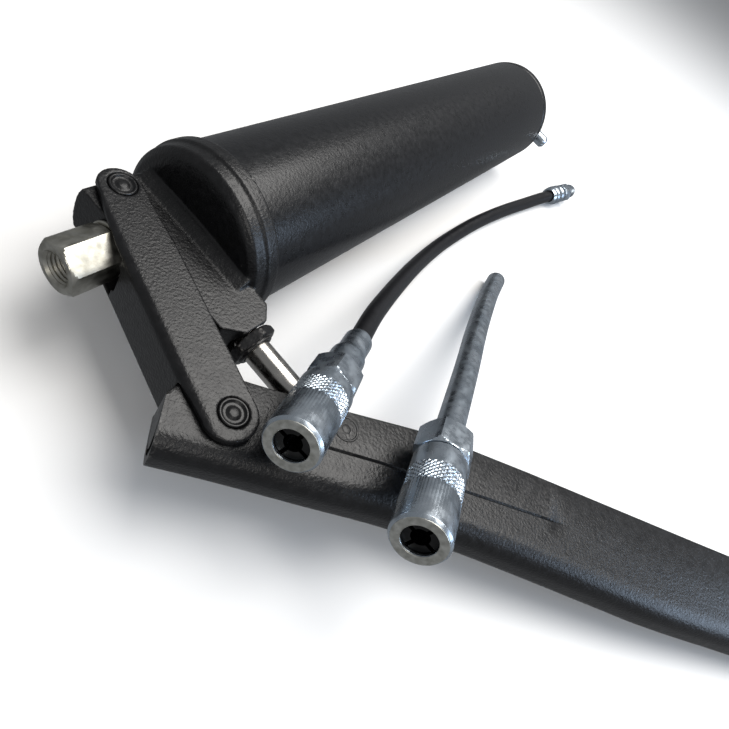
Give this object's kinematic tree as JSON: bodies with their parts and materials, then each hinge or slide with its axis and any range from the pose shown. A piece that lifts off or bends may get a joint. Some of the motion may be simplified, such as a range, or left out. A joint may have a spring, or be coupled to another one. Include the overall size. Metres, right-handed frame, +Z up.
{
  "type": "grease gun",
  "caption": "Hand lever grease gun lying on its side, lever open, with a loose flexible hose and a loose rigid pipe, each ending in a jaw coupler.",
  "frame": {"origin": "under the middle of the gun and the rigid pipe, on the table", "axes": "+X along the barrel from the head to the closed end, +Y across from the lever to the barrel, +Z up"},
  "size_m": [0.3615, 0.3164, 0.0605],
  "materials": {
    "black_casting": "black powder coat with a fine texture, semi-gloss",
    "black_tube": "black powder coat, smoother and glossier than the castings",
    "black_pin": "black painted pin heads",
    "zinc": "bright zinc plate on turned and hexagonal steel",
    "bright_steel": "ground and polished",
    "jaw_steel": "hardened, dark, oiled",
    "spring_steel": "plain drawn wire and ball",
    "rubber": "black oil-resistant rubber",
    "hose_plastic": "smooth black thermoplastic hose cover, slight sheen"
  },
  "bodies": {
    "gun_body": {"head_casting": "black_casting", "barrel_gasket": "rubber", "barrel_tube": "black_tube", "barrel_end_cap": "black_tube", "outlet_socket": "zinc", "outlet_washer": "zinc", "check_spring": "spring_steel", "gland_nut": "black_casting", "plunger_seal": "rubber", "link_head_pin": "black_pin", "follower_spring": "spring_steel"},
    "check_ball": {"check_ball": "spring_steel"},
    "plunger": {"plunger": "bright_steel"},
    "lever": {"lever": "black_casting", "plunger_pin": "black_pin"},
    "link": {"link": "black_casting", "link_lever_pin": "black_pin"},
    "follower": {"follower_rod": "bright_steel", "follower_front_plate": "zinc", "follower_cup": "rubber", "follower_back_plate": "zinc", "follower_nut": "zinc", "follower_handle": "zinc"},
    "hose": {"hose_tube": "hose_plastic", "hose_ferrule": "zinc", "hose_end_ferrule": "zinc", "hose_end_fitting": "zinc", "hose_coupler_sleeve": "zinc", "hose_coupler_body": "zinc", "hose_coupler_jaw_1": "jaw_steel", "hose_coupler_jaw_2": "jaw_steel", "hose_coupler_jaw_3": "jaw_steel", "hose_coupler_jaw_4": "jaw_steel", "hose_coupler_seal": "rubber", "hose_coupler_spring": "spring_steel"},
    "pipe": {"pipe_tube": "zinc", "pipe_coupler_sleeve": "zinc", "pipe_coupler_body": "zinc", "pipe_coupler_jaw_1": "jaw_steel", "pipe_coupler_jaw_2": "jaw_steel", "pipe_coupler_jaw_3": "jaw_steel", "pipe_coupler_jaw_4": "jaw_steel", "pipe_coupler_seal": "rubber", "pipe_coupler_spring": "spring_steel"}
  },
  "joints": [
    {"name": "lever_swing", "type": "hinge", "parent": "plunger", "child": "lever", "pos_m": [-0.1209, 0.04589, 0.02409], "axis": [0, -0.0781, 0.9969], "range_deg": [0, 41]},
    {"name": "plunger_stroke", "type": "slide", "parent": "gun_body", "child": "plunger", "axis": [0, 0.9969, 0.0781], "range_m": [0, 0.0264]},
    {"name": "link_swing", "type": "hinge", "parent": "gun_body", "child": "link", "pos_m": [-0.127, 0.14209, 0.03163], "axis": [0, -0.0781, 0.9969], "range_deg": [-7.9, 0]},
    {"name": "follower_pull", "type": "slide", "parent": "gun_body", "child": "follower", "axis": [1, 0, 0], "range_m": [0, 0.175], "deforming": ["follower_spring"]},
    {"name": "check_ball_lift", "type": "slide", "parent": "gun_body", "child": "check_ball", "axis": [-1, 0, 0], "range_m": [0, 0.0012], "deforming": ["check_spring"]},
    {"name": "hose_lift", "type": "slide", "parent": "gun_body", "child": "hose", "axis": [0, 0, 1], "range_m": [0, 0.0575]},
    {"name": "pipe_lift", "type": "slide", "parent": "gun_body", "child": "pipe", "axis": [0, 0, 1], "range_m": [0, 0.0575]}
  ],
  "couplings": [
    {"joint": "plunger_stroke", "follows": "lever_swing", "m_per_rad": 0.03669},
    {"joint": "link_swing", "follows": "lever_swing", "ratio": -0.18986},
    {"joint": "hose_lift", "follows": "lever_swing", "m_per_rad": 0.08},
    {"joint": "pipe_lift", "follows": "lever_swing", "m_per_rad": 0.08}
  ]
}
